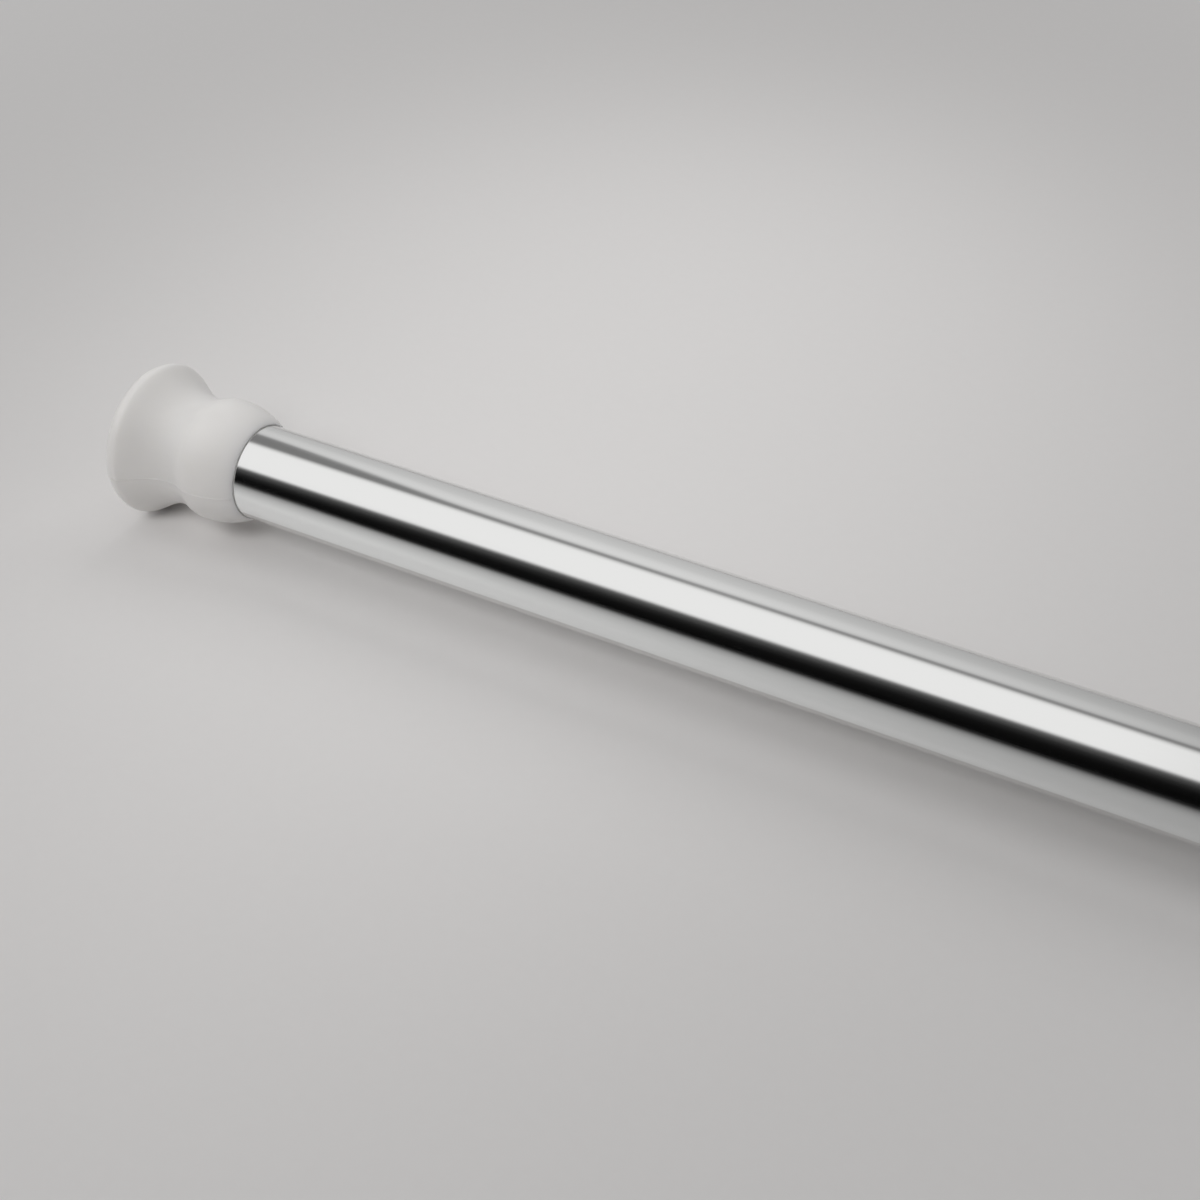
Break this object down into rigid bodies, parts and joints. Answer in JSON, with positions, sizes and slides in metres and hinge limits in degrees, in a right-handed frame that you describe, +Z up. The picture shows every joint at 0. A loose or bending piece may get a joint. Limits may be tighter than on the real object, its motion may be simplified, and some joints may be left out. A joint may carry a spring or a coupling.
{
  "type": "spring tension rod",
  "caption": "Telescopic tension rod: chrome tube with a slimmer sliding tube, flared milky end caps, a twist lock and a compression spring that wedges it between facing walls.",
  "frame": {"origin": "centre of the wall face of the end cap on the thick tube", "axes": "+X along the rod from that wall face to the other end cap, +Z up"},
  "size_m": [0.7, 0.0406, 0.0406],
  "materials": {
    "chrome_plate": "polished",
    "milky_plastic": "satin",
    "white_plastic": "satin",
    "natural_nylon": "satin",
    "drawn_steel": "satin",
    "spring_steel": "satin"
  },
  "bodies": {
    "outer_rod": {"outer_tube": "chrome_plate", "outer_end_cap": "milky_plastic", "guide_collar": "white_plastic"},
    "cam": {"cam_ring": "natural_nylon"},
    "lock": {"lock_spool": "natural_nylon", "guide_rod": "drawn_steel", "retaining_washers": "spring_steel", "spring": "spring_steel"},
    "inner_rod": {"spring_plug": "natural_nylon", "inner_tube": "chrome_plate", "inner_end_cap": "milky_plastic"}
  },
  "joints": [
    {"name": "extension_slide", "type": "slide", "parent": "outer_rod", "child": "cam", "axis": [1, 0, 0], "range_m": [0, 0.45]},
    {"name": "twist_lock", "type": "hinge", "parent": "cam", "child": "lock", "pos_m": [0.05, 0, 0], "axis": [1, 0, 0], "range_deg": [-35, 35]},
    {"name": "spring_slide", "type": "slide", "parent": "lock", "child": "inner_rod", "axis": [1, 0, 0], "range_m": [-0.03, 0], "stiffness_N_per_m": 3010, "springref_m": 0.005, "deforming": ["spring"]}
  ]
}
